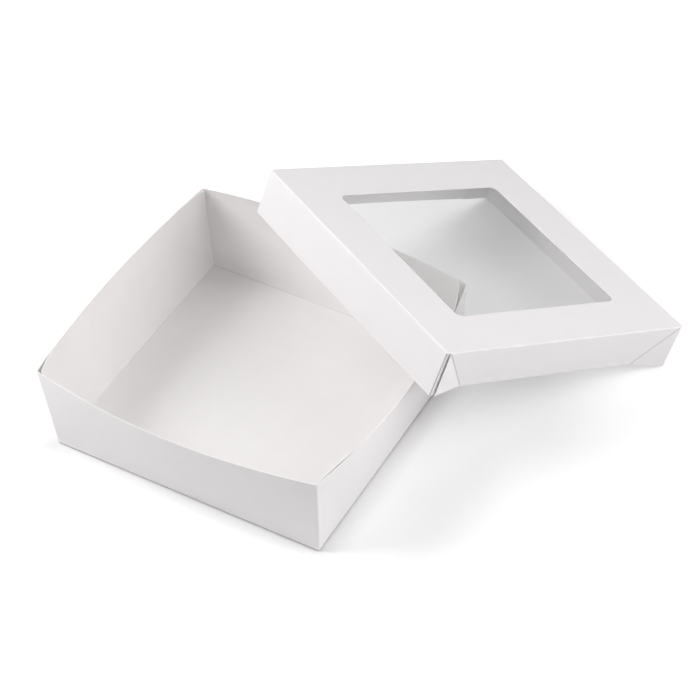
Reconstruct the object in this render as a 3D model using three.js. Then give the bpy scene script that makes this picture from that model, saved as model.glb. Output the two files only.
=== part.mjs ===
// A two-part folding carton: an open tray with bowed walls, and a windowed lid that leans on it.
// Lengths are millimetres and +Z is up. The origin is the middle of the tray's underside, the
// tray's front wall faces -Y and its right wall faces +X. Both parts are creased paperboard blanks:
// each mesh is one panel of a blank, from crease to crease, or the clear film behind the window.
import * as THREE from 'three';

// Board and film
const BOARD = 0.5;
const FILM = 0.3;
const LAP_GAP = 0.3;

// Tray blank. The slant is a wall's height up its own slope, the lean is how far its rim's ends
// stand out beyond its foot, and the bow is how much further the rim bulges at its middle.
const FLOOR_SIDE = 225;
const WALL_SLANT = 80;
const LEAN_FRONT = 7;
const LEAN_RIGHT = 3;
const LEAN_BACK = -0.5;
const LEAN_LEFT = 5.5;
const BOW_FRONT = 11.5;
const BOW_RIGHT = 13;
const BOW_BACK = 11;
const BOW_LEFT = 8;

// Tray glue flaps. They turn round the corners from the front and back walls and lie outside the
// side walls. The mouth is the wedge that stays open between flap and side wall at each corner's
// rim, because the glue only reaches part of the way up.
const FLAP_RIM_LENGTH = 40;
const FLAP_FOOT_LENGTH = 46;
const FLAP_LIFT_AT_CORNER = 2;
const FLAP_LIFT_AT_END = 7;
const MOUTH_LENGTH = 38;
const MOUTH_FRONT_RIGHT = 1.5;
const MOUTH_BACK_RIGHT = 6;
const MOUTH_BACK_LEFT = 1.5;
const MOUTH_FRONT_LEFT = 4;

// Lid blank. A tuck is how far a skirt's rim stands in from its top crease: the front skirt tucks
// in, so each end of it bends along a diagonal crease from the top corner, and the back skirt
// hangs straight. The triangle beyond each diagonal crease covers a side skirt's flap.
const LID_SIDE = 240;
const LID_SKIRT = 38;
const FRONT_TUCK = 7.2;
const BACK_TUCK = 0;
const TRIANGLE_LENGTH = 33;
const RAW_EDGE_SHIFT = 3;
const FLAP_SHORT_OF_CREASE = 6;

// Window
const WINDOW_MARGIN = 40;
const WINDOW_RADIUS = 6;
const FILM_OVERLAP = 14;

// How the lid rests: its right edge on the table, and its back skirt on the tray's back rim. The
// seat is the place where they meet, as an X along the rim and as a length from the lid's rear
// left corner. The heading turns the lid's own +X from +X.
const LID_HEADING = THREE.MathUtils.degToRad(61.4);
const SEAT_ALONG_RIM = -48.5;
const SEAT_FROM_CORNER = 27.8;
const SEAT_GAP = 0.45;

// How finely the curved walls are divided
const WALL_COLUMNS = 20;
const WALL_ROWS = 6;
const FLAP_COLUMNS = 5;
const ARC_STEPS = 8;

// Derived values
const LAP = BOARD + LAP_GAP;
const HALF_FLOOR = FLOOR_SIDE / 2;
const HALF_LID = LID_SIDE / 2;
const LID_FLAP_LENGTH = TRIANGLE_LENGTH - FLAP_SHORT_OF_CREASE;

// Materials
const boardMaterial = new THREE.MeshStandardMaterial({ color: 0xf2f1f2, roughness: 0.62, metalness: 0 });
const filmMaterial = new THREE.MeshStandardMaterial({ color: 0xf7fafb, roughness: 0.06, metalness: 0 });

// A closed sheet between two faces. Each face is a function of u and v, both from 0 to 1, that
// returns a point; seen from in front of the outer face, u runs to the right and v runs up.
function sheetGeometry(outerFace, innerFace, columns, rows) {
  const positions = [];
  for (const face of [outerFace, innerFace]) {
    for (let row = 0; row <= rows; row += 1) {
      for (let column = 0; column <= columns; column += 1) {
        positions.push(...face(column / columns, row / rows).toArray());
      }
    }
  }
  const faceSize = (columns + 1) * (rows + 1);
  const outer = (column, row) => row * (columns + 1) + column;
  const inner = (column, row) => faceSize + outer(column, row);
  const indices = [];
  const quad = (a, b, c, d) => indices.push(a, b, c, a, c, d);
  for (let row = 0; row < rows; row += 1) {
    for (let column = 0; column < columns; column += 1) {
      const next = column + 1;
      const above = row + 1;
      quad(outer(column, row), outer(next, row), outer(next, above), outer(column, above));
      quad(inner(next, row), inner(column, row), inner(column, above), inner(next, above));
    }
  }
  for (let column = 0; column < columns; column += 1) {
    const next = column + 1;
    quad(inner(column, 0), inner(next, 0), outer(next, 0), outer(column, 0));
    quad(outer(column, rows), outer(next, rows), inner(next, rows), inner(column, rows));
  }
  for (let row = 0; row < rows; row += 1) {
    const above = row + 1;
    quad(inner(0, row), outer(0, row), outer(0, above), inner(0, above));
    quad(outer(columns, row), inner(columns, row), inner(columns, above), outer(columns, above));
  }
  const geometry = new THREE.BufferGeometry();
  geometry.setAttribute('position', new THREE.Float32BufferAttribute(positions, 3));
  geometry.setIndex(indices);
  geometry.computeVertexNormals();
  return geometry;
}

function mesh(name, geometry, material) {
  const part = new THREE.Mesh(geometry, material);
  part.name = name;
  return part;
}

const boardPanel = (name, geometry) => mesh(name, geometry, boardMaterial);

// The tray's four sides. Each group is turned so that, seen from outside its wall, the wall's
// own +X runs to the right and its outward direction is -Y. Each side also holds the lean of the
// walls that it meets at its left and right ends.
const TRAY_SIDES = {
  front: {
    turn: 0,
    lean: LEAN_FRONT,
    bow: BOW_FRONT,
    leftLean: LEAN_LEFT,
    rightLean: LEAN_RIGHT,
  },
  right: {
    turn: Math.PI / 2,
    lean: LEAN_RIGHT,
    bow: BOW_RIGHT,
    leftLean: LEAN_FRONT,
    rightLean: LEAN_BACK,
  },
  back: {
    turn: Math.PI,
    lean: LEAN_BACK,
    bow: BOW_BACK,
    leftLean: LEAN_RIGHT,
    rightLean: LEAN_LEFT,
  },
  left: {
    turn: -Math.PI / 2,
    lean: LEAN_LEFT,
    bow: BOW_LEFT,
    leftLean: LEAN_BACK,
    rightLean: LEAN_FRONT,
  },
};

// The side walls, with the front or back wall that each end meets and the mouth left there.
const LAPPED_ENDS = {
  right: { left: 'front', leftMouth: MOUTH_FRONT_RIGHT, right: 'back', rightMouth: MOUTH_BACK_RIGHT },
  left: { left: 'back', leftMouth: MOUTH_BACK_LEFT, right: 'front', rightMouth: MOUTH_FRONT_LEFT },
};

const leftCorner = (side, up) => -(HALF_FLOOR + side.leftLean * up);
const rightCorner = (side, up) => HALF_FLOOR + side.rightLean * up;

// A point of a tray wall in its side's own frame: run along the wall, up from 0 at the crease to
// 1 at the rim, and inset inwards from the outermost face.
function wallPoint(side, run, up, inset) {
  const share = THREE.MathUtils.inverseLerp(leftCorner(side, up), rightCorner(side, up), run);
  const reach = side.lean + side.bow * 4 * share * (1 - share);
  const height = Math.sqrt(WALL_SLANT * WALL_SLANT - reach * reach);
  return new THREE.Vector3(run, -(HALF_FLOOR + reach * up - inset), height * up);
}

// The width of the open wedge between a side wall and the flap over it.
function mouthAt(width, distanceFromCorner, up) {
  const open = Math.max(1 - distanceFromCorner / MOUTH_LENGTH, 0);
  return width * open * open * up;
}

// The front and back walls run the full width and carry the corners.
function plainWall(side) {
  const face = (inset) => (u, v) =>
    wallPoint(side, THREE.MathUtils.lerp(leftCorner(side, v), rightCorner(side, v), u), v, inset);
  return sheetGeometry(face(0), face(BOARD), WALL_COLUMNS, WALL_ROWS);
}

// The side walls end behind the front and back walls, one lap inside the flaps.
function lappedWall(side, ends) {
  const face = (inset) => (u, v) => {
    const left = leftCorner(side, v);
    const right = rightCorner(side, v);
    const run = THREE.MathUtils.lerp(left + LAP, right - LAP, u);
    const mouth = mouthAt(ends.leftMouth, run - left, v) + mouthAt(ends.rightMouth, right - run, v);
    return wallPoint(side, run, v, inset + mouth);
  };
  return sheetGeometry(face(LAP), face(LAP + BOARD), WALL_COLUMNS, WALL_ROWS);
}

// A glue flap over one end of a side wall; end is -1 for the wall's left end and 1 for its right.
function trayFlap(side, end) {
  const face = (inset) => (u, v) => {
    const fromCorner = end < 0 ? u : 1 - u;
    const lift = THREE.MathUtils.lerp(FLAP_LIFT_AT_CORNER, FLAP_LIFT_AT_END, fromCorner) / WALL_SLANT;
    const up = THREE.MathUtils.lerp(lift, 1, v);
    const length = THREE.MathUtils.lerp(FLAP_FOOT_LENGTH, FLAP_RIM_LENGTH, up);
    const distance = THREE.MathUtils.lerp(LAP, length, fromCorner);
    const run = end < 0 ? leftCorner(side, up) + distance : rightCorner(side, up) - distance;
    return wallPoint(side, run, up, inset);
  };
  return sheetGeometry(face(0), face(BOARD), FLAP_COLUMNS, WALL_ROWS);
}

// A flat plate with its top face at z = 0, and a window if hole is given.
function flatPlate(width, depth, thickness, hole) {
  const outline = new THREE.Shape();
  outline.moveTo(-width / 2, -depth / 2);
  outline.lineTo(width / 2, -depth / 2);
  outline.lineTo(width / 2, depth / 2);
  outline.lineTo(-width / 2, depth / 2);
  outline.closePath();
  if (hole) outline.holes.push(hole);
  const geometry = new THREE.ExtrudeGeometry(outline, {
    depth: thickness,
    bevelEnabled: false,
    curveSegments: ARC_STEPS,
  });
  return geometry.translate(0, 0, -thickness);
}

function trayFloor() {
  const width = FLOOR_SIDE - 2 * (LAP + BOARD + LAP_GAP);
  const depth = FLOOR_SIDE - 2 * LAP;
  const floor = boardPanel('tray_floor', flatPlate(width, depth, BOARD));
  floor.position.z = BOARD;
  return floor;
}

function traySide(name) {
  const side = TRAY_SIDES[name];
  const ends = LAPPED_ENDS[name];
  const group = new THREE.Group();
  group.rotation.z = side.turn;
  if (!ends) {
    group.add(boardPanel(`tray_${name}_wall`, plainWall(side)));
    return group;
  }
  group.add(boardPanel(`tray_${name}_wall`, lappedWall(side, ends)));
  group.add(boardPanel(`tray_flap_${ends.left}_${name}`, trayFlap(side, -1)));
  group.add(boardPanel(`tray_flap_${ends.right}_${name}`, trayFlap(side, 1)));
  return group;
}

function tray() {
  const group = new THREE.Group();
  group.add(trayFloor());
  for (const name of Object.keys(TRAY_SIDES)) group.add(traySide(name));
  return group;
}

// The lid's own frame: z = 0 is the outer face of the top panel, and the skirts hang down. An end
// of the lid has its tuck, its slope from upright, its depth and how far its triangles turn in.
function tuckedEnd(tuck) {
  const angle = Math.asin(tuck / LID_SKIRT);
  const depth = LID_SKIRT * Math.cos(angle);
  const turn = Math.atan2(tuck, TRIANGLE_LENGTH);
  return { tuck, angle, depth, turn };
}

const LID_ENDS = { front: tuckedEnd(FRONT_TUCK), back: tuckedEnd(BACK_TUCK) };

function windowHole() {
  const half = HALF_LID - WINDOW_MARGIN;
  const straight = half - WINDOW_RADIUS;
  const hole = new THREE.Path();
  hole.absarc(straight, straight, WINDOW_RADIUS, 0, Math.PI / 2);
  hole.absarc(-straight, straight, WINDOW_RADIUS, Math.PI / 2, Math.PI);
  hole.absarc(-straight, -straight, WINDOW_RADIUS, Math.PI, 1.5 * Math.PI);
  hole.absarc(straight, -straight, WINDOW_RADIUS, 1.5 * Math.PI, 2 * Math.PI);
  hole.closePath();
  return hole;
}

function lidTop() {
  const width = LID_SIDE - 2 * LAP;
  const depth = LID_SIDE - 2 * (LAP + BOARD * Math.tan(LID_ENDS.front.angle));
  return boardPanel('lid_top_panel', flatPlate(width, depth, BOARD, windowHole()));
}

function windowFilm() {
  const side = LID_SIDE - 2 * (WINDOW_MARGIN - FILM_OVERLAP);
  const film = mesh('window_film', flatPlate(side, side, FILM), filmMaterial);
  film.position.z = -LAP;
  return film;
}

// The left and right skirts hang straight down and end behind the front and back skirts.
function lidSideWall() {
  const halfLength = HALF_LID - LAP / Math.cos(LID_ENDS.front.turn);
  const face = (inset) => (u, v) =>
    new THREE.Vector3((2 * u - 1) * halfLength, -(HALF_LID - inset), -LID_SKIRT * (1 - v));
  return sheetGeometry(face(0), face(BOARD), 1, 1);
}

// The front or back skirt between its two diagonal creases.
function endSkirt(shape) {
  const inward = new THREE.Vector3(0, Math.cos(shape.angle), Math.sin(shape.angle));
  const face = (inset) => (u, v) => {
    const depth = THREE.MathUtils.lerp(1, LAP_GAP / LID_SKIRT, v);
    const halfLength = HALF_LID - TRIANGLE_LENGTH * depth - LAP_GAP;
    const y = -HALF_LID + shape.tuck * depth;
    const point = new THREE.Vector3((2 * u - 1) * halfLength, y, -shape.depth * depth);
    return point.addScaledVector(inward, inset);
  };
  return sheetGeometry(face(0), face(BOARD), 1, 1);
}

// A point of the plane that a corner triangle lies in, at the left or right end of a skirt.
// distance runs from the upright corner line towards the diagonal crease, where it is 1.
function trianglePoint(shape, end, distance, depth, inset) {
  const x = end * (HALF_LID - TRIANGLE_LENGTH * depth * distance);
  const y = -HALF_LID + shape.tuck * depth * distance;
  const z = -THREE.MathUtils.lerp(LID_SKIRT, shape.depth, distance) * depth;
  const inward = new THREE.Vector3(end * Math.sin(shape.turn), Math.cos(shape.turn), 0);
  return new THREE.Vector3(x, y, z).addScaledVector(inward, inset);
}

// The triangle at one end of a skirt, from its raw edge to the diagonal crease.
function cornerTriangle(shape, end) {
  const rawEdge = RAW_EDGE_SHIFT / TRIANGLE_LENGTH;
  const topDepth = (RAW_EDGE_SHIFT + BOARD) / TRIANGLE_LENGTH;
  const face = (inset) => (u, v) => {
    const fromCorner = end < 0 ? u : 1 - u;
    const depth = THREE.MathUtils.lerp(1, topDepth, v);
    const crease = 1 - LAP_GAP / (TRIANGLE_LENGTH * depth);
    const distance = THREE.MathUtils.lerp(rawEdge / depth, crease, fromCorner);
    return trianglePoint(shape, end, distance, depth, inset);
  };
  return sheetGeometry(face(0), face(BOARD), 1, 1);
}

// The flap that turns in from a side skirt and is glued behind the triangle.
function lidFlap(shape, end) {
  const clearOfSkirt = 2 * LAP;
  const topDepth = 2 * clearOfSkirt / LID_FLAP_LENGTH;
  const face = (inset) => (u, v) => {
    const fromCorner = end < 0 ? u : 1 - u;
    const depth = THREE.MathUtils.lerp(1 - LAP_GAP / LID_SKIRT, topDepth, v);
    const length = THREE.MathUtils.lerp(clearOfSkirt, LID_FLAP_LENGTH * depth, fromCorner);
    return trianglePoint(shape, end, length / (TRIANGLE_LENGTH * depth), depth, inset);
  };
  return sheetGeometry(face(LAP), face(LAP + BOARD), 1, 1);
}

// A front or back skirt with its triangles and the flaps behind them, built for the front.
function lidEnd(side) {
  const shape = LID_ENDS[side];
  const group = new THREE.Group();
  group.rotation.z = side === 'front' ? 0 : Math.PI;
  const leftSide = side === 'front' ? 'left' : 'right';
  const rightSide = side === 'front' ? 'right' : 'left';
  group.add(boardPanel(`lid_${side}_skirt`, endSkirt(shape)));
  group.add(boardPanel(`lid_triangle_${side}_${leftSide}`, cornerTriangle(shape, -1)));
  group.add(boardPanel(`lid_triangle_${side}_${rightSide}`, cornerTriangle(shape, 1)));
  group.add(boardPanel(`lid_flap_${side}_${leftSide}`, lidFlap(shape, -1)));
  group.add(boardPanel(`lid_flap_${side}_${rightSide}`, lidFlap(shape, 1)));
  return group;
}

function lidSide(side) {
  const group = new THREE.Group();
  group.rotation.z = side === 'right' ? Math.PI / 2 : -Math.PI / 2;
  group.add(boardPanel(`lid_${side}_skirt`, lidSideWall()));
  return group;
}

// Lays the lid's right lower edge on the table and its back skirt on the tray's back rim.
function leanOnTray(group) {
  const rim = wallPoint(TRAY_SIDES.back, -SEAT_ALONG_RIM, 1, 0);
  const seat = new THREE.Vector3(SEAT_ALONG_RIM, -rim.y, rim.z + SEAT_GAP);
  const edge = trianglePoint(LID_ENDS.back, 1, SEAT_FROM_CORNER / TRIANGLE_LENGTH, 1, 0);
  edge.set(-edge.x, -edge.y, edge.z);
  const run = HALF_LID - edge.x;
  const lift = LID_SKIRT + edge.z;
  const tilt = Math.asin(seat.z / Math.hypot(run, lift)) - Math.atan2(lift, run);
  group.rotation.order = 'ZYX';
  group.rotation.set(0, tilt, LID_HEADING);
  group.position.copy(seat).sub(edge.applyEuler(group.rotation));
}

function lid() {
  const group = new THREE.Group();
  group.add(lidTop(), windowFilm());
  group.add(lidSide('left'), lidSide('right'));
  group.add(lidEnd('front'), lidEnd('back'));
  leanOnTray(group);
  return group;
}

const windowedBox = new THREE.Group();
windowedBox.add(tray(), lid());

export default windowedBox;
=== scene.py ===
"""A windowed carton: its open tray and the lid that leans on it, folded from flat board."""
import math

import bmesh
import bpy
from mathutils import Matrix, Vector


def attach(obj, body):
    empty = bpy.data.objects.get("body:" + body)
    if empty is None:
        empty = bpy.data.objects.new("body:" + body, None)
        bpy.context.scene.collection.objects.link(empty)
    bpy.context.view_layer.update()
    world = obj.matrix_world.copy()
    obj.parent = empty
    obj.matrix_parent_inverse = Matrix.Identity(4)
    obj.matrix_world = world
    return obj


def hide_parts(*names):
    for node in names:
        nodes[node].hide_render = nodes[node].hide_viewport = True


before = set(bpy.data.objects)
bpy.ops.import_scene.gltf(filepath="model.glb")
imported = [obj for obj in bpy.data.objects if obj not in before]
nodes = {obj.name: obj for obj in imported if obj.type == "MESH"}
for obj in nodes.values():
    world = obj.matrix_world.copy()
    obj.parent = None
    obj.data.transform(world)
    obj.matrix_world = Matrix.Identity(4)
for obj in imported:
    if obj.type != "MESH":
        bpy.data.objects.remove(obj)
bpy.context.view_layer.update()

# Sizes of the box, in millimetres until a blank is folded
MM = 0.001
BOARD = 0.5
HALF_BOARD = BOARD / 2
LAP = 0.62
SLACK = 0.01
SMOOTH_ANGLE = math.radians(35)

# The tray: its walls' leans at the rim, the bows of their rims and their turns round the box
HALF_FLOOR = 112.5
WALL_SLANT = 80.0
LEAN = {"front": 7.0, "right": 3.0, "back": -0.5, "left": 5.5}
BOW = {"front": 11.5, "right": 13.0, "back": 11.0, "left": 8.0}
TURN = {"front": 0.0, "right": 90.0, "back": 180.0, "left": -90.0}
LEFT_OF = {"front": "left", "right": "front", "back": "right", "left": "back"}
RIGHT_OF = {"front": "right", "right": "back", "back": "left", "left": "front"}

FLOOR_REACH = HALF_FLOOR - HALF_BOARD
SIDE_REACH = HALF_FLOOR - LAP - HALF_BOARD
SIDE_WALL_HALF = SIDE_REACH - 0.4
FLAP_FOOT_GAP = 2.0
FLAP_RIM_LENGTH = 40.0
FLAP_FOOT_LENGTH = 46.0
FLAP_END_LIFT = 7.0

# A side wall's ends stand clear of the turned walls by this, and by a little more near its crease
END_CLEARANCE = 0.15
CREASED_SHARE = 0.03

# How far each side wall has sprung in from its flap at the rim, how far from the corner this reaches
# and how fast it closes; the near corner gapes only midway along its flap. The last value is how fast
# each mouth opens from the foot up.
MOUTHS = {("left", 1): (3.6, 24, 1.6), ("left", -1): (1.3, 30, 1.5), ("right", 1): (6.2, 40, 1.7)}
NEAR_CORNER = ("right", -1)
NEAR_GAP = 0.12
NEAR_MOUTH = 1.0
NEAR_MOUTH_LENGTH = 44
NEAR_MOUTH_POWER = 1.3
SPRUNG_POWER = 1.4

# Folds: ROUND leaves a fold's corner rounded, and PRESSED makes it a groove, which grows to its full
# depth over the first GROOVE_START millimetres
ROUND = 0.0
PRESSED = 2.6
GROOVE_START = 3
CREASE_RADIUS = 0.8
FOOT_RADIUS = 1.3
CORNER_RADIUS = 1.1
DIAGONAL_CREASE = 0.9
BESIDE_CREASE = 1.0
FOOT_LINE = FOOT_RADIUS / 4
ACROSS_FOLD = (-1, -0.5, 0, 0.5, 1)

# How dark the painted shade lines are, and how light the painted highlight and coating pull are above the
# foot
FOOT_PAINTED_SHADE = 1.6
FOOT_STRETCH_AND_HIGHLIGHT = 0.9
CORNER_PAINTED_SHADE = 0.7
DIAGONAL_PAINTED_SHADE = 0.55

# The lid: its front skirt is tucked in, and its left and back skirts swell outwards
HALF_LID = 120.0
LID_SKIRT = 38.0
FRONT_TUCK = 7.2
BACK_TUCK = 0.0
TRIANGLE_LENGTH = 33.0
RAW_EDGE_SHIFT = 3.0
FLAP_RECESS = 0.95
FLAP_TOP_GAP = 1.5
LID_FLAP_LENGTH = 27.0
LID_FLAP_TOP_LENGTH = 2.4
LEFT_SWELL = 1.1
BACK_SWELL = 1.6
WINDOW_HALF = 80.0
WINDOW_RADIUS = 6.0
WINDOW_SEGMENTS = 8
LID_REACH = HALF_LID - HALF_BOARD
LID_DEPTH = LID_SKIRT - HALF_BOARD
APEX = LID_REACH - RAW_EDGE_SHIFT
SKIRT_FOOT = HALF_LID - TRIANGLE_LENGTH
TRIANGLE_RUN = APEX - SKIRT_FOOT
FLAP_BEND = LID_REACH - FLAP_RECESS

# Where the lid leans: its heading, and the place on the back rim that its back skirt rests on
LID_HEADING = math.radians(61.4)
SEAT_ALONG_RIM = -48.5
SEAT_FROM_CORNER = 27.8
SEAT_GAP = 0.45

# Where the blanks are divided, so that bowed and swollen panels can curve
FLOOR_STEPS = [8.0 * k for k in range(1, 14)]
SIDE_WALL_END_STEPS = [108.5, 110.2]
FLAP_STEPS = [4 * k for k in range(1, 10)]
WALL_STEPS = [FLAP_FOOT_GAP + 2, *(8 * k for k in range(1, 10)), 77]
LID_STEPS = [15 * k for k in range(1, 8)]


def lerp(a, b, t):
    return a + (b - a) * t


def clamp(t):
    return min(max(t, 0.0), 1.0)


def fade(distance, width):
    """1 on a crease, falling to 0 at the given width from it."""
    return clamp(1 - abs(distance) / width)


# Working with the operators
def edit(piece):
    """Selects one piece alone and opens it for editing."""
    bpy.ops.object.select_all(action="DESELECT")
    piece.select_set(True)
    bpy.context.view_layer.objects.active = piece
    bpy.ops.object.mode_set(mode="EDIT")
    bpy.ops.mesh.select_mode(type="EDGE")


def leave_edit():
    bpy.ops.object.mode_set(mode="OBJECT")


def pick(piece, kind, test):
    """Selects the vertices, edges or faces whose middle passes the test."""
    bpy.ops.mesh.select_mode(type={"verts": "VERT", "edges": "EDGE", "faces": "FACE"}[kind])
    bpy.ops.mesh.select_all(action="DESELECT")
    mesh = bmesh.from_edit_mesh(piece.data)
    for element in getattr(mesh, kind):
        if kind == "verts":
            middle = element.co
        else:
            middle = sum((v.co for v in element.verts), Vector()) / len(element.verts)
        if test(middle):
            element.select_set(True)
    mesh.select_flush_mode()
    bmesh.update_edit_mesh(piece.data)


def flat_sheet(name, half_width, half_depth):
    """A flat sheet centred on the origin, left open for editing."""
    bpy.ops.object.select_all(action="DESELECT")
    bpy.ops.mesh.primitive_plane_add(size=2)
    sheet = bpy.context.object
    sheet.name = name
    edit(sheet)
    bpy.ops.mesh.select_all(action="SELECT")
    bpy.ops.transform.resize(value=(half_width, half_depth, 1))
    return sheet


def near(a, b):
    return abs(a - b) < SLACK


def pull_edge(sheet, test, move):
    """Pulls a new panel out of the edges that pass the test."""
    pick(sheet, "edges", test)
    bpy.ops.mesh.extrude_region_move(TRANSFORM_OT_translate={"value": (*move, 0)})


def score(sheet, axis, places):
    """Divides the whole sheet along straight lines across one axis."""
    for place in places:
        line = [0, 0, 0]
        line[axis] = place
        across = [0, 0, 0]
        across[axis] = 1
        bpy.ops.mesh.select_all(action="SELECT")
        bpy.ops.mesh.bisect(plane_co=line, plane_no=across, threshold=0.0001)


def both(values):
    return sorted({sign * v for v in values for sign in (-1, 1)})


def fold(sheet, place):
    """Moves each point of the flat sheet to its place in the folded box, and marks the creases:
    above 0 for the coating's pull over a bend with a painted highlight, below 0 for a painted shade line."""
    leave_edit()
    crease = sheet.data.attributes.new("crease", "FLOAT", "POINT")
    points = sheet.data.vertices
    for k, point in enumerate(points):
        folded, wear_highlight_and_shade = place(point.co.x, point.co.y)
        point.co = folded * MM
        crease.data[k].value = wear_highlight_and_shade
    sheet.data.update()


def dress(piece, materials):
    """Gives a piece these materials in place of its own."""
    while piece.data.materials:
        piece.data.materials.pop()
    for material in materials:
        piece.data.materials.append(material)


def thicken(sheet, materials):
    """Gives the sheet the board's thickness; the materials are those of its upper side, its lower
    side and its raw edges."""
    dress(sheet, materials)
    edit(sheet)
    bpy.ops.mesh.select_all(action="SELECT")
    bpy.ops.mesh.remove_doubles(threshold=0.00001)
    leave_edit()
    wall = sheet.modifiers.new("board", "SOLIDIFY")
    wall.thickness = BOARD * MM
    wall.offset = 0
    wall.material_offset = 1
    wall.material_offset_rim = 2
    bpy.ops.object.select_all(action="DESELECT")
    sheet.select_set(True)
    bpy.context.view_layer.objects.active = sheet
    bpy.ops.object.modifier_apply(modifier=wall.name)
    bpy.ops.object.shade_smooth_by_angle(angle=SMOOTH_ANGLE)


def round_crease(distance, radius, place, press=ROUND):
    """The place of a point near a crease: place(d) gives the sharp fold, and this rounds it, or
    presses it into a groove where press is more than 1."""
    if abs(distance) >= radius:
        return place(distance)
    t = (distance + radius) / (2 * radius)
    start, corner, end = place(-radius), place(0), place(radius)
    corner = corner.lerp((start + end) / 2, press)
    return start * (1 - t) ** 2 + corner * (2 * t * (1 - t)) + end * t ** 2


# The tray
def corner_reach(side, end, up):
    """The run of a wall's left or right corner, in the wall's own frame."""
    neighbour = LEFT_OF[side] if end < 0 else RIGHT_OF[side]
    return end * (HALF_FLOOR + LEAN[neighbour] * up)


def wall_point(side, run, up, inset):
    """The place of a point of a wall, from its run along the side, its share of the way up and how
    far it lies inside the wall's outer face."""
    left = corner_reach(side, -1, up)
    right = corner_reach(side, 1, up)
    share = (run - left) / (right - left)
    reach = LEAN[side] + BOW[side] * 4 * share * (1 - share)
    height = math.sqrt(WALL_SLANT ** 2 - reach ** 2)
    out = HALF_FLOOR + reach * up - inset
    rise = lerp(HALF_BOARD, height, up)
    turn = math.radians(TURN[side])
    return Vector((run * math.cos(turn) + out * math.sin(turn),
                   run * math.sin(turn) - out * math.cos(turn), rise))


def mouth(side, end, distance):
    """How far a side wall has sprung in from its flap at the rim, at a distance from the corner."""
    if (side, end) == NEAR_CORNER:
        midway = math.sin(math.pi * clamp(distance / NEAR_MOUTH_LENGTH))
        return NEAR_GAP + NEAR_MOUTH * midway ** NEAR_MOUTH_POWER
    widest, length, power = MOUTHS[side, end]
    return widest * clamp(1 - distance / length) ** power


def side_of(x, y):
    """The side that a point of the flat tray belongs to, and its place along that side."""
    on_crease = abs(y) > FLOOR_REACH - FOOT_RADIUS and abs(y) - FLOOR_REACH > abs(x) - SIDE_REACH
    if on_crease or abs(y) > FLOOR_REACH:
        return ("front", x) if y < 0 else ("back", -x)
    return ("left", -y) if x < 0 else ("right", y)


def front_wall_place(side, along, up):
    """A front or back wall with its flaps, rounded where it turns round the corner."""
    def sharp(distance):
        end = 1 if along > 0 else -1
        if distance <= 0:
            share = (end * (FLOOR_REACH + distance) + FLOOR_REACH) / (2 * FLOOR_REACH)
            left = corner_reach(side, -1, up) + HALF_BOARD
            right = corner_reach(side, 1, up) - HALF_BOARD
            run = lerp(left, right, share)
            return wall_point(side, run, up, HALF_BOARD)
        beside = LEFT_OF[side] if end < 0 else RIGHT_OF[side]
        corner = corner_reach(beside, -end, up)
        return wall_point(beside, corner + end * (HALF_BOARD + distance), up, HALF_BOARD)
    return round_crease(abs(along) - FLOOR_REACH, CORNER_RADIUS, sharp)


def side_wall_place(side, along, up):
    """A side wall, one lap inside the flaps and sprung in from them near its ends."""
    share = (along + SIDE_WALL_HALF) / (2 * SIDE_WALL_HALF)
    back = lerp(HALF_FLOOR - SIDE_WALL_HALF, LAP + END_CLEARANCE, clamp(up / CREASED_SHARE))
    left = corner_reach(side, -1, up)
    right = corner_reach(side, 1, up)
    run = lerp(left + back, right - back, share)
    sprung = mouth(side, -1, run - left) + mouth(side, 1, right - run)
    return wall_point(side, run, up, LAP + HALF_BOARD + sprung * up ** SPRUNG_POWER)


def tray_place(x, y):
    """Where a point of the flat tray comes to lie in the folded one, and how its crease is marked with
    worn coating, painted highlight and painted shade.
    """
    side, along = side_of(x, y)
    lapped = side in ("left", "right")
    line = SIDE_REACH if lapped else FLOOR_REACH
    out = (abs(x) if lapped else abs(y)) - line

    def sharp(distance):
        if distance <= 0:
            across = math.copysign(line + distance, x if lapped else y)
            return Vector((across, y, HALF_BOARD)) if lapped else Vector((x, across, HALF_BOARD))
        up = distance / WALL_SLANT
        return (side_wall_place if lapped else front_wall_place)(side, along, up)

    # Painted highlight and coating pull above the foot and up the corners; painted contact shadow along
    # the foot
    foot_stretch_and_highlight = FOOT_STRETCH_AND_HIGHLIGHT * fade(out - FOOT_RADIUS - BESIDE_CREASE, BESIDE_CREASE)
    wear_highlight_and_shade = foot_stretch_and_highlight - FOOT_PAINTED_SHADE * fade(out - FOOT_LINE, FOOT_RADIUS)
    if not lapped and out > FOOT_RADIUS:
        wear_highlight_and_shade = max(wear_highlight_and_shade, fade(abs(along) - FLOOR_REACH, CORNER_RADIUS))
    return round_crease(out, FOOT_RADIUS, sharp), wear_highlight_and_shade


def tray_blank():
    """The tray's flat sheet: the floor, four walls, and a glue flap at each end of two of them."""
    tray = flat_sheet("tray_board", SIDE_REACH, FLOOR_REACH)
    score(tray, 1, both([SIDE_WALL_HALF]))
    for sign in (-1, 1):
        pull_edge(tray, lambda m: near(m.y, sign * FLOOR_REACH), (0, sign * WALL_SLANT))
        pull_edge(tray, lambda m: near(m.x, sign * SIDE_REACH) and abs(m.y) < 1, (sign * WALL_SLANT, 0))
    flap_foot = FLOOR_REACH + FLAP_FOOT_GAP
    score(tray, 1, both([flap_foot]))
    flap = FLAP_RIM_LENGTH + FLOOR_REACH - SIDE_REACH
    for sign in (-1, 1):
        pull_edge(tray, lambda m: near(m.x, sign * SIDE_REACH) and abs(m.y) > flap_foot, (sign * flap, 0))
        for end in (-1, 1):
            foot = Vector((sign * (SIDE_REACH + flap), end * flap_foot, 0))
            pick(tray, "verts", lambda m: (m - foot).length < SLACK)
            bpy.ops.transform.translate(value=(sign * (FLAP_FOOT_LENGTH - FLAP_RIM_LENGTH),
                                               end * (FLAP_END_LIFT - FLAP_FOOT_GAP), 0))
    return tray


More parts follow.
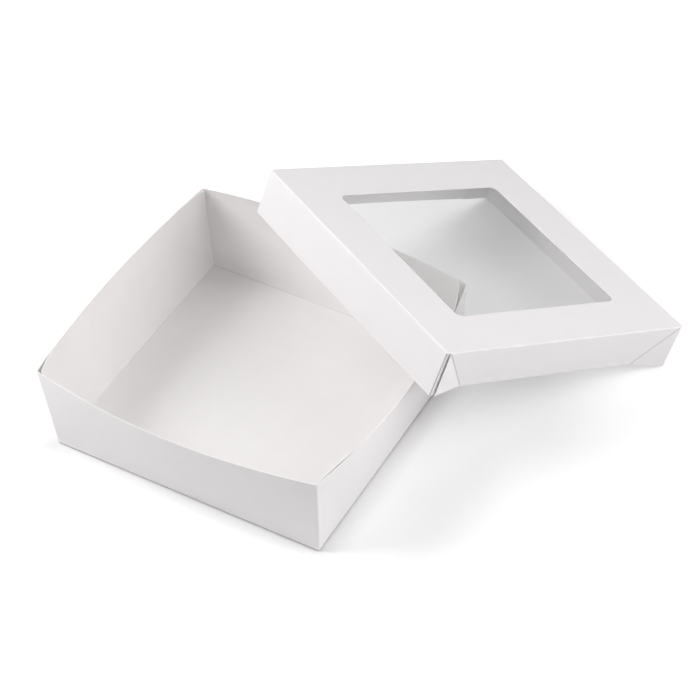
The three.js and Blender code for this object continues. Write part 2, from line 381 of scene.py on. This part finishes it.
def score_tray(tray):
    """Divides the tray's sheet at its creases, beside them and between them."""
    beside = FOOT_RADIUS + BESIDE_CREASE
    round_corner = [FLOOR_REACH + CORNER_RADIUS * r for r in ACROSS_FOLD if r >= 0]
    score(tray, 0, both(FLOOR_STEPS + [SIDE_REACH - FOOT_RADIUS, SIDE_REACH - FOOT_RADIUS / 2]) + [0])
    score(tray, 0, both(round_corner + [FLOOR_REACH + d for d in FLAP_STEPS]))
    score(tray, 0, both([SIDE_REACH + FOOT_RADIUS * r for r in ACROSS_FOLD if r > 0]))
    score(tray, 0, both([SIDE_REACH + d for d in WALL_STEPS]))
    score(tray, 1, both(FLOOR_STEPS + SIDE_WALL_END_STEPS) + [0])
    score(tray, 0, both([SIDE_REACH - beside, SIDE_REACH + beside]))
    score(tray, 1, both([FLOOR_REACH - beside, FLOOR_REACH + beside]))
    score(tray, 1, both([FLOOR_REACH + FOOT_RADIUS * r for r in ACROSS_FOLD if r]))
    score(tray, 1, both([FLOOR_REACH + d for d in WALL_STEPS]))


def make_tray(materials):
    tray = tray_blank()
    score_tray(tray)
    fold(tray, tray_place)
    thicken(tray, materials)
    return tray


# The lid, folded in its own frame with z = 0 on top, then leaned on the tray
def tucked_end(tuck):
    """The slope of an end's skirt from upright, how far in its triangles reach and how far they turn."""
    slope = math.asin(tuck / LID_SKIRT)
    triangle_in = LID_DEPTH * math.sin(slope)
    return slope, triangle_in, math.atan2(triangle_in, TRIANGLE_RUN)


def lid_pose():
    """How the lid is turned and where its frame's origin lies, from the place that it rests on."""
    left = corner_reach("back", 1, 1)
    share = (SEAT_ALONG_RIM + left) / (HALF_FLOOR + LEAN["right"] + left)
    reach = LEAN["back"] + BOW["back"] * 4 * share * (1 - share)
    seat = Vector((SEAT_ALONG_RIM, HALF_FLOOR + reach, math.sqrt(WALL_SLANT ** 2 - reach ** 2) + SEAT_GAP))
    slope, _, _ = LID_ENDS[1]
    share = SEAT_FROM_CORNER / TRIANGLE_LENGTH
    edge = Vector((-HALF_LID + SEAT_FROM_CORNER, HALF_LID - BACK_TUCK * share,
                   -LID_SKIRT * lerp(1, math.cos(slope), share)))
    run = HALF_LID - edge.x
    lift = LID_SKIRT + edge.z
    tilt = math.asin(seat.z / math.hypot(run, lift)) - math.atan2(lift, run)
    turn = Matrix.Rotation(LID_HEADING, 3, "Z") @ Matrix.Rotation(tilt, 3, "Y")
    return turn, seat - turn @ edge


def side_skirt_place(x_sign, y, deep):
    """A side skirt and the flaps at its ends, which turn in behind the triangles."""
    end = 1 if y > 0 else -1
    _, _, turn = LID_ENDS[end]

    def sharp(distance):
        if distance <= 0:
            swell = 0.0 if x_sign > 0 else LEFT_SWELL * (1 - (y / LID_REACH) ** 2) * deep / LID_DEPTH
            return Vector((x_sign * (LID_REACH + swell), end * (FLAP_BEND + distance),
                           -HALF_BOARD - deep))
        return Vector((x_sign * (LID_REACH - distance * math.cos(turn)),
                       end * (FLAP_BEND - distance * math.sin(turn)), -HALF_BOARD - deep))
    return round_crease(abs(y) - FLAP_BEND, CREASE_RADIUS, sharp, PRESSED * clamp(deep / GROOVE_START))


def end_skirt_place(x, y_sign, deep):
    """A front or back skirt: tucked in between its diagonal creases, with a triangle beyond each."""
    slope, triangle_in, turn = LID_ENDS[y_sign]
    swell = 0.0 if y_sign < 0 else BACK_SWELL * max(0, 1 - (x / SKIRT_FOOT) ** 2) * deep / LID_DEPTH
    diagonal = APEX - TRIANGLE_RUN * deep / LID_DEPTH
    if abs(x) <= diagonal:
        return Vector((x, y_sign * (LID_REACH + swell - deep * math.sin(slope)),
                       -HALF_BOARD - deep * math.cos(slope)))
    length = math.hypot(TRIANGLE_RUN, LID_DEPTH)
    from_apex = APEX - abs(x)
    along = (from_apex * TRIANGLE_RUN + deep * LID_DEPTH) / length
    beyond = (deep * TRIANGLE_RUN - from_apex * LID_DEPTH) / length
    level = math.hypot(TRIANGLE_RUN, triangle_in)
    drop = LID_DEPTH * math.cos(slope)
    inward = (along * level - beyond * drop) / length
    down = (along * drop + beyond * level) / length
    x_sign = 1 if x > 0 else -1
    return Vector((x_sign * (APEX - inward * math.cos(turn)),
                   y_sign * (LID_REACH + swell - inward * math.sin(turn)), -HALF_BOARD - down))


def lid_place(x, y):
    """Where a point of the flat lid comes to lie on the leaning one, and how its crease is marked with
    worn coating, painted highlight and painted shade.
    """
    turn, origin = LID_POSE
    on_side = abs(x) > abs(y) or abs(x) > LID_REACH + SLACK
    out = (abs(x) if on_side else abs(y)) - LID_REACH

    def sharp(distance):
        if distance <= 0:
            if on_side:
                return Vector((math.copysign(LID_REACH + distance, x), y, -HALF_BOARD))
            return Vector((x, math.copysign(LID_REACH + distance, y), -HALF_BOARD))
        if on_side:
            return side_skirt_place(math.copysign(1, x), y, distance)
        return end_skirt_place(x, math.copysign(1, y), distance)

    # Painted highlight along the top creases; painted shade in the corner grooves and along the diagonal
    # creases
    wear_highlight_and_shade = fade(out, CREASE_RADIUS)
    if on_side and out > 0:
        wear_highlight_and_shade -= CORNER_PAINTED_SHADE * fade(abs(y) - FLAP_BEND, CREASE_RADIUS)
    elif out > 0:
        wear_highlight_and_shade -= DIAGONAL_PAINTED_SHADE * fade(abs(x) - APEX + TRIANGLE_RUN * out / LID_DEPTH, DIAGONAL_CREASE)
    return turn @ round_crease(out, CREASE_RADIUS, sharp) + origin, wear_highlight_and_shade


def lid_blank():
    """The lid's flat sheet: the top with its window, four skirts, and a glue flap at each end of two."""
    lid = flat_sheet("lid_board", LID_REACH, LID_REACH)
    bpy.ops.mesh.inset(thickness=LID_REACH - WINDOW_HALF)
    pick(lid, "faces", lambda m: m.length < 1)
    bpy.ops.mesh.delete(type="ONLY_FACE")
    pick(lid, "verts", lambda m: max(abs(m.x), abs(m.y)) < WINDOW_HALF + 1)
    bpy.ops.mesh.bevel(offset=WINDOW_RADIUS, offset_type="OFFSET", segments=WINDOW_SEGMENTS,
                       affect="VERTICES", profile=0.5)
    score(lid, 0, both([APEX]))
    score(lid, 1, both([FLAP_BEND]))
    for sign in (-1, 1):
        pull_edge(lid, lambda m: near(m.y, sign * LID_REACH) and abs(m.x) < APEX, (0, sign * LID_DEPTH))
        pull_edge(lid, lambda m: near(m.x, sign * LID_REACH) and abs(m.y) < FLAP_BEND,
                  (sign * LID_DEPTH, 0))
    flap_top = LID_REACH + FLAP_TOP_GAP
    score(lid, 0, both([flap_top]))
    for end in (-1, 1):
        pull_edge(lid, lambda m: near(m.y, end * FLAP_BEND) and abs(m.x) > flap_top,
                  (0, end * LID_FLAP_LENGTH))
        for sign in (-1, 1):
            top = Vector((sign * flap_top, end * (FLAP_BEND + LID_FLAP_LENGTH), 0))
            pick(lid, "verts", lambda m: (m - top).length < SLACK)
            bpy.ops.transform.translate(value=(0, -end * (LID_FLAP_LENGTH - LID_FLAP_TOP_LENGTH), 0))
    return lid


def score_diagonals(lid):
    """Divides each end skirt along its diagonal creases and on both sides of them."""
    for x_sign in (-1, 1):
        for y_sign in (-1, 1):
            across = Vector((LID_DEPTH, x_sign * y_sign * TRIANGLE_RUN, 0)).normalized()
            for offset in (-DIAGONAL_CREASE, 0, DIAGONAL_CREASE):
                middle = Vector((x_sign * (APEX - TRIANGLE_RUN / 2 + offset),
                                 y_sign * (LID_REACH + LID_DEPTH / 2), 0))
                pick(lid, "faces", lambda m: m.y * y_sign > LID_REACH + SLACK and abs(m.x) < LID_REACH)
                bpy.ops.mesh.bisect(plane_co=middle, plane_no=across)


def score_lid(lid):
    """Divides the lid's sheet at its creases, beside them and between them."""
    rounding = [r * CREASE_RADIUS for r in ACROSS_FOLD]
    beside = CREASE_RADIUS + BESIDE_CREASE
    for axis in (0, 1):
        score(lid, axis, both([LID_REACH + r for r in rounding if r]
                              + [LID_REACH - beside, LID_REACH + beside]))
    score(lid, 1, both([FLAP_BEND + r for r in rounding] + [FLAP_BEND - beside]))
    for axis in (0, 1):
        score(lid, axis, both(LID_STEPS) + [0])


def make_lid(materials):
    lid = lid_blank()
    score_diagonals(lid)
    score_lid(lid)
    fold(lid, lid_place)
    thicken(lid, materials)
    return lid


# Materials

# Each face: two tones, roughness, fibre size, relief, and the strength of its creases' worn coating,
# painted highlight and shade
# The tones' slight red lean is the light's tint painted into the board's colour
BOARDS = {
    "coated_board": ((0.878, 0.857, 0.867), (0.857, 0.837, 0.848), 0.48, 1900, 0.25, 1),
    "uncoated_board": ((0.878, 0.856, 0.856), (0.853, 0.832, 0.832), 0.68, 1500, 0.5, 0.1),
    "cut_edge": ((0.965, 0.955, 0.945), (0.9, 0.89, 0.88), 0.75, 4200, 0.8, 0),
}
# The painted highlight along the creases, with the coating's pull, and how much of it shows
STRETCH_AND_HIGHLIGHT_TONE = (0.96, 0.955, 0.95, 1)
STRETCH_AND_HIGHLIGHT_SHARE = 1.1
# The colour of the painted shade lines
PAINTED_SHADE_TONE = (0.17, 0.165, 0.17, 1)
FIBRE_SHARE = 0.6
FILM_TONE = (0.8, 0.805, 0.81, 1)
FILM_RIPPLE = (18, 60, 18)


def new_material(name):
    material = bpy.data.materials.new(name)
    material.use_nodes = True
    material.node_tree.nodes.clear()
    return material


def add(tree, kind, **values):
    node = tree.nodes.new(kind)
    for key, value in values.items():
        setattr(node, key, value)
    return node


def board_group():
    """Fine fibre, slow mottling, and creases with worn coating, painted highlight and painted shade lines,
    as a colour, a roughness and a height.
    """
    group = bpy.data.node_groups.new("board_surface", "ShaderNodeTree")
    for name, kind in (("Coordinates", "Vector"), ("Crease", "Float"), ("Wear Highlight And Shade", "Float"),
                       ("Light", "Color"), ("Dark", "Color"), ("Roughness", "Float"),
                       ("Fibre Size", "Float")):
        group.interface.new_socket(name, in_out="INPUT", socket_type=f"NodeSocket{kind}")
    for name, kind in (("Colour", "Color"), ("Roughness", "Float"), ("Height", "Float")):
        group.interface.new_socket(name, in_out="OUTPUT", socket_type=f"NodeSocket{kind}")
    inputs = add(group, "NodeGroupInput")
    outputs = add(group, "NodeGroupOutput")
    link = group.links.new

    mottle = add(group, "ShaderNodeTexNoise")
    mottle.inputs["Scale"].default_value = 55
    mottle.inputs["Detail"].default_value = 4
    link(inputs.outputs["Coordinates"], mottle.inputs["Vector"])
    fibre = add(group, "ShaderNodeTexNoise")
    fibre.inputs["Detail"].default_value = 6
    fibre.inputs["Roughness"].default_value = 0.62
    link(inputs.outputs["Coordinates"], fibre.inputs["Vector"])
    link(inputs.outputs["Fibre Size"], fibre.inputs["Scale"])

    blend = add(group, "ShaderNodeMath", operation="MULTIPLY_ADD")
    blend.inputs[1].default_value = FIBRE_SHARE
    link(fibre.outputs["Fac"], blend.inputs[0])
    rest = add(group, "ShaderNodeMath", operation="MULTIPLY")
    rest.inputs[1].default_value = 1 - FIBRE_SHARE
    link(mottle.outputs["Fac"], rest.inputs[0])
    link(rest.outputs[0], blend.inputs[2])
    spread = add(group, "ShaderNodeMapRange")
    spread.inputs["From Min"].default_value = 0.35
    spread.inputs["From Max"].default_value = 0.65
    link(blend.outputs[0], spread.inputs["Value"])
    tone = add(group, "ShaderNodeMix", data_type="RGBA")
    link(spread.outputs["Result"], tone.inputs["Factor"])
    link(inputs.outputs["Dark"], tone.inputs["A"])
    link(inputs.outputs["Light"], tone.inputs["B"])

    # Coating pulled thin and cracked a little over the folds, with a painted highlight along them
    crease_wear_highlight_and_shade = add(group, "ShaderNodeMath", operation="MULTIPLY")
    link(inputs.outputs["Crease"], crease_wear_highlight_and_shade.inputs[0])
    link(inputs.outputs["Wear Highlight And Shade"], crease_wear_highlight_and_shade.inputs[1])
    bend = add(group, "ShaderNodeMath", operation="MAXIMUM")
    bend.inputs[1].default_value = 0
    link(crease_wear_highlight_and_shade.outputs[0], bend.inputs[0])
    crack_and_highlight = add(group, "ShaderNodeMath", operation="MULTIPLY")
    link(bend.outputs[0], crack_and_highlight.inputs[0])
    link(spread.outputs["Result"], crack_and_highlight.inputs[1])
    whiten_and_highlight = add(group, "ShaderNodeMix", data_type="RGBA")
    whiten_and_highlight.inputs["B"].default_value = STRETCH_AND_HIGHLIGHT_TONE
    part = add(group, "ShaderNodeMath", operation="MULTIPLY")
    part.inputs[1].default_value = STRETCH_AND_HIGHLIGHT_SHARE
    link(crack_and_highlight.outputs[0], part.inputs[0])
    link(part.outputs[0], whiten_and_highlight.inputs["Factor"])
    link(tone.outputs["Result"], whiten_and_highlight.inputs["A"])

    # Painted shade lines: contact shadow at the tray's foot, shade in the lid's corner grooves and
    # diagonals
    painted_shade_line = add(group, "ShaderNodeMath", operation="MULTIPLY")
    painted_shade_line.inputs[1].default_value = -1
    painted_shade_line.use_clamp = True
    link(crease_wear_highlight_and_shade.outputs[0], painted_shade_line.inputs[0])
    darken = add(group, "ShaderNodeMix", data_type="RGBA")
    darken.inputs["B"].default_value = PAINTED_SHADE_TONE
    link(painted_shade_line.outputs[0], darken.inputs["Factor"])
    link(whiten_and_highlight.outputs["Result"], darken.inputs["A"])
    link(darken.outputs["Result"], outputs.inputs["Colour"])

    rough = add(group, "ShaderNodeMath", operation="MULTIPLY_ADD")
    rough.inputs[1].default_value = 0.12
    link(blend.outputs[0], rough.inputs[0])
    link(inputs.outputs["Roughness"], rough.inputs[2])
    worn = add(group, "ShaderNodeMath", operation="MULTIPLY_ADD")
    worn.inputs[1].default_value = 0.1
    link(bend.outputs[0], worn.inputs[0])
    link(rough.outputs[0], worn.inputs[2])
    link(worn.outputs[0], outputs.inputs["Roughness"])

    height = add(group, "ShaderNodeMath", operation="MULTIPLY_ADD")
    height.inputs[1].default_value = 0.5
    link(crack_and_highlight.outputs[0], height.inputs[0])
    link(fibre.outputs["Fac"], height.inputs[2])
    link(height.outputs[0], outputs.inputs["Height"])
    return group


def board_material(name, group):
    light, dark, roughness, fibre, bump, wear_highlight_and_shade = BOARDS[name]
    material = new_material(name)
    tree = material.node_tree
    link = tree.links.new
    output = add(tree, "ShaderNodeOutputMaterial")
    shader = add(tree, "ShaderNodeBsdfPrincipled")
    shader.inputs["IOR"].default_value = 1.45
    shader.inputs["Specular IOR Level"].default_value = 0.35
    shader.inputs["Subsurface Weight"].default_value = 0.4
    shader.inputs["Subsurface Radius"].default_value = (1, 1, 1)
    shader.inputs["Subsurface Scale"].default_value = BOARD * MM
    place = add(tree, "ShaderNodeTexCoord")
    crease = add(tree, "ShaderNodeAttribute", attribute_name="crease")
    surface = add(tree, "ShaderNodeGroup", node_tree=group)
    surface.inputs["Light"].default_value = (*light, 1)
    surface.inputs["Dark"].default_value = (*dark, 1)
    surface.inputs["Roughness"].default_value = roughness
    surface.inputs["Fibre Size"].default_value = fibre
    surface.inputs["Wear Highlight And Shade"].default_value = wear_highlight_and_shade
    link(place.outputs["Object"], surface.inputs["Coordinates"])
    link(crease.outputs["Fac"], surface.inputs["Crease"])
    relief = add(tree, "ShaderNodeBump")
    relief.inputs["Strength"].default_value = bump
    relief.inputs["Distance"].default_value = 0.00006
    link(surface.outputs["Height"], relief.inputs["Height"])
    link(surface.outputs["Colour"], shader.inputs["Base Color"])
    link(surface.outputs["Roughness"], shader.inputs["Roughness"])
    link(relief.outputs["Normal"], shader.inputs["Normal"])
    link(shader.outputs["BSDF"], output.inputs["Surface"])
    return material


def film_material():
    """Clear film that ripples a little and shows more haze at a shallow angle."""
    material = new_material("clear_film")
    tree = material.node_tree
    link = tree.links.new
    output = add(tree, "ShaderNodeOutputMaterial")
    shader = add(tree, "ShaderNodeBsdfPrincipled")
    shader.inputs["Base Color"].default_value = FILM_TONE
    shader.inputs["IOR"].default_value = 1.5
    shader.inputs["Metallic"].default_value = 0
    place = add(tree, "ShaderNodeTexCoord")
    drawn = add(tree, "ShaderNodeMapping")
    drawn.inputs["Rotation"].default_value = (0, 0, -LID_HEADING)
    drawn.inputs["Scale"].default_value = FILM_RIPPLE
    ripple = add(tree, "ShaderNodeTexNoise")
    ripple.inputs["Scale"].default_value = 1
    ripple.inputs["Detail"].default_value = 2
    link(place.outputs["Object"], drawn.inputs["Vector"])
    link(drawn.outputs["Vector"], ripple.inputs["Vector"])
    relief = add(tree, "ShaderNodeBump")
    relief.inputs["Strength"].default_value = 0.15
    relief.inputs["Distance"].default_value = 0.001
    link(ripple.outputs["Fac"], relief.inputs["Height"])
    link(relief.outputs["Normal"], shader.inputs["Normal"])
    gloss = add(tree, "ShaderNodeMapRange")
    gloss.inputs["To Min"].default_value = 0.05
    gloss.inputs["To Max"].default_value = 0.12
    link(ripple.outputs["Fac"], gloss.inputs["Value"])
    link(gloss.outputs["Result"], shader.inputs["Roughness"])
    edge = add(tree, "ShaderNodeLayerWeight")
    edge.inputs["Blend"].default_value = 0.35
    haze = add(tree, "ShaderNodeMapRange")
    haze.inputs["To Min"].default_value = 0.08
    haze.inputs["To Max"].default_value = 0.35
    link(edge.outputs["Facing"], haze.inputs["Value"])
    link(haze.outputs["Result"], shader.inputs["Alpha"])
    link(shader.outputs["BSDF"], output.inputs["Surface"])
    return material


# Camera, floor and light

# Azimuths count from the front towards the right. Lengths are in metres, lens and sensor in millimetres.
CAMERA_AZIMUTH = 28.934
CAMERA_ELEVATION = 44.623
CAMERA_ROLL = -0.370
CAMERA_TARGET = Vector((0.032725, 0.0786056, 0))
CAMERA_DISTANCE = 1.7303433
LENS = 113.722
SENSOR = 36

# The floor is lifted towards white for the camera: by FLOOR_LIFT beyond the shadow at the tray's foot,
# by only a share of it behind the film, and fully over the distances of FLOOR_FADE from the middle
FLOOR_SIZE = 14
FLOOR_LIFT = 0.2
FOOT_SHADOW = 0.022
LIFT_BEHIND_FILM = 0.5
FLOOR_FADE = (0.2, 0.8)

# Each softbox: azimuth, elevation, power in watts
STUDIO_CENTRE = Vector((0.04, 0.09, 0))
STUDIO_REACH = 1.6
SOFTBOX = 0.9
SOFTBOXES = {
    "front_left_softbox": (300, 38, 20.2),
    "front_softbox": (0, 38, 1.1),
    "right_low_softbox": (90, 18, 5.0),
    "right_softbox": (90, 38, 5.5),
    "right_back_softbox": (120, 38, 5.7),
    "back_high_softbox": (180, 62, 4.0),
    "left_high_softbox": (270, 62, 1.0),
    "front_right_high_softbox": (45, 62, 3.1),
}


def towards(azimuth, elevation):
    """The direction out to an azimuth and an elevation."""
    azimuth, elevation = math.radians(azimuth), math.radians(elevation)
    return Vector((math.sin(azimuth) * math.cos(elevation), -math.cos(azimuth) * math.cos(elevation),
                   math.sin(elevation)))


def make_camera():
    back = towards(CAMERA_AZIMUTH, CAMERA_ELEVATION)
    right = Vector((0, 0, 1)).cross(back).normalized()
    up = back.cross(right)
    roll = Matrix.Rotation(math.radians(CAMERA_ROLL), 3, back)
    data = bpy.data.cameras.new("camera")
    data.lens = LENS
    data.sensor_width = SENSOR
    data.clip_start = 0.05
    data.clip_end = 20
    camera = bpy.data.objects.new("camera", data)
    bpy.context.scene.collection.objects.link(camera)
    axes = Matrix((roll @ right, roll @ up, back)).transposed()
    place = CAMERA_TARGET + back * CAMERA_DISTANCE
    camera.matrix_world = Matrix.Translation(place) @ axes.to_4x4()
    bpy.context.scene.camera = camera


def make_softbox(name, azimuth, elevation, power):
    data = bpy.data.lights.new(name, "AREA")
    data.shape = "SQUARE"
    data.size = SOFTBOX
    data.energy = power
    lamp = bpy.data.objects.new(name, data)
    bpy.context.scene.collection.objects.link(lamp)
    out = towards(azimuth, elevation)
    lamp.location = STUDIO_CENTRE + out * STUDIO_REACH
    lamp.rotation_mode = "QUATERNION"
    lamp.rotation_quaternion = out.to_track_quat("Z", "Y")


def make_floor():
    """A white sheet: it takes the shadow near the box and stays white to the camera far away."""
    bpy.ops.object.select_all(action="DESELECT")
    bpy.ops.mesh.primitive_plane_add(size=FLOOR_SIZE, location=(0, 0, 0))
    floor = bpy.context.object
    floor.name = "floor"
    material = new_material("floor")
    tree = material.node_tree
    link = tree.links.new
    output = add(tree, "ShaderNodeOutputMaterial")
    matte = add(tree, "ShaderNodeBsdfDiffuse")
    matte.inputs["Color"].default_value = (0.9, 0.9, 0.9, 1)
    glow = add(tree, "ShaderNodeEmission")
    path = add(tree, "ShaderNodeLightPath")
    place = add(tree, "ShaderNodeTexCoord")
    reach = add(tree, "ShaderNodeVectorMath", operation="LENGTH")
    far = add(tree, "ShaderNodeMapRange", interpolation_type="SMOOTHSTEP")
    far.inputs["From Min"].default_value = FLOOR_FADE[0]
    far.inputs["From Max"].default_value = FLOOR_FADE[1]
    link(place.outputs["Object"], reach.inputs[0])
    link(reach.outputs["Value"], far.inputs["Value"])

    # The lift grows from the tray's foot outwards, so that the shadow along the foot stays
    sides = add(tree, "ShaderNodeVectorMath", operation="ABSOLUTE")
    axes = add(tree, "ShaderNodeSeparateXYZ")
    square = add(tree, "ShaderNodeMath", operation="MAXIMUM")
    foot = add(tree, "ShaderNodeMapRange", interpolation_type="SMOOTHSTEP")
    foot.inputs["From Min"].default_value = HALF_FLOOR * MM
    foot.inputs["From Max"].default_value = HALF_FLOOR * MM + FOOT_SHADOW
    foot.inputs["To Max"].default_value = FLOOR_LIFT
    link(place.outputs["Object"], sides.inputs[0])
    link(sides.outputs["Vector"], axes.inputs["Vector"])
    link(axes.outputs["X"], square.inputs[0])
    link(axes.outputs["Y"], square.inputs[1])
    link(square.outputs[0], foot.inputs["Value"])
    sweep = add(tree, "ShaderNodeMath", operation="ADD")
    link(far.outputs["Result"], sweep.inputs[0])
    link(foot.outputs["Result"], sweep.inputs[1])

    # Behind the film the floor keeps more of its shade
    film_share = add(tree, "ShaderNodeMapRange")
    film_share.inputs["To Min"].default_value = 1
    film_share.inputs["To Max"].default_value = LIFT_BEHIND_FILM
    link(path.outputs["Transparent Depth"], film_share.inputs["Value"])
    shaded = add(tree, "ShaderNodeMath", operation="MULTIPLY")
    link(sweep.outputs[0], shaded.inputs[0])
    link(film_share.outputs["Result"], shaded.inputs[1])
    lift = add(tree, "ShaderNodeMath", operation="MULTIPLY")
    link(shaded.outputs[0], lift.inputs[1])
    blended = add(tree, "ShaderNodeAddShader")
    link(path.outputs["Is Camera Ray"], lift.inputs[0])
    link(lift.outputs[0], glow.inputs["Strength"])
    link(matte.outputs[0], blended.inputs[0])
    link(glow.outputs[0], blended.inputs[1])
    link(blended.outputs[0], output.inputs["Surface"])
    dress(floor, [material])


def make_world():
    """White to the camera, and no light of its own: the softboxes light the box."""
    world = bpy.data.worlds.new("studio")
    bpy.context.scene.world = world
    world.use_nodes = True
    tree = world.node_tree
    tree.nodes.clear()
    link = tree.links.new
    output = add(tree, "ShaderNodeOutputWorld")
    light = add(tree, "ShaderNodeBackground")
    seen = add(tree, "ShaderNodeBackground")
    light.inputs["Strength"].default_value = 0
    seen.inputs["Strength"].default_value = 1
    for node in (light, seen):
        node.inputs["Color"].default_value = (1, 1, 1, 1)
    path = add(tree, "ShaderNodeLightPath")
    mirror = add(tree, "ShaderNodeMath", operation="MAXIMUM")
    chosen = add(tree, "ShaderNodeMixShader")
    clear = add(tree, "ShaderNodeMath", operation="MAXIMUM")
    link(path.outputs["Is Camera Ray"], mirror.inputs[0])
    link(path.outputs["Is Glossy Ray"], mirror.inputs[1])
    link(mirror.outputs[0], clear.inputs[0])
    link(path.outputs["Is Transmission Ray"], clear.inputs[1])
    link(clear.outputs[0], chosen.inputs["Fac"])
    link(light.outputs[0], chosen.inputs[1])
    link(seen.outputs[0], chosen.inputs[2])
    link(chosen.outputs[0], output.inputs["Surface"])


# The studio
make_camera()
make_floor()
make_world()
for softbox, (azimuth, elevation, power) in SOFTBOXES.items():
    make_softbox(softbox, azimuth, elevation, power)

# The pieces
LID_ENDS = {-1: tucked_end(FRONT_TUCK), 1: tucked_end(BACK_TUCK)}
LID_POSE = lid_pose()
surface = board_group()
coated = board_material("coated_board", surface)
plain = board_material("uncoated_board", surface)
cut = board_material("cut_edge", surface)

tray = make_tray([plain, coated, cut])
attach(tray, "tray")
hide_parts("tray_floor", "tray_front_wall", "tray_right_wall", "tray_back_wall", "tray_left_wall",
            "tray_flap_front_right", "tray_flap_back_right", "tray_flap_back_left", "tray_flap_front_left")

lid = make_lid([coated, plain, cut])
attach(lid, "lid")
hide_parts("lid_top_panel", "lid_left_skirt", "lid_right_skirt", "lid_front_skirt", "lid_back_skirt",
            *(f"lid_{kind}_{end}_{side}" for kind in ("triangle", "flap") for end in ("front", "back")
              for side in ("left", "right")))

film = film_material()
for k in range(len(nodes["window_film"].data.materials)):
    nodes["window_film"].data.materials[k] = film

bpy.context.scene.view_settings.view_transform = "Standard"
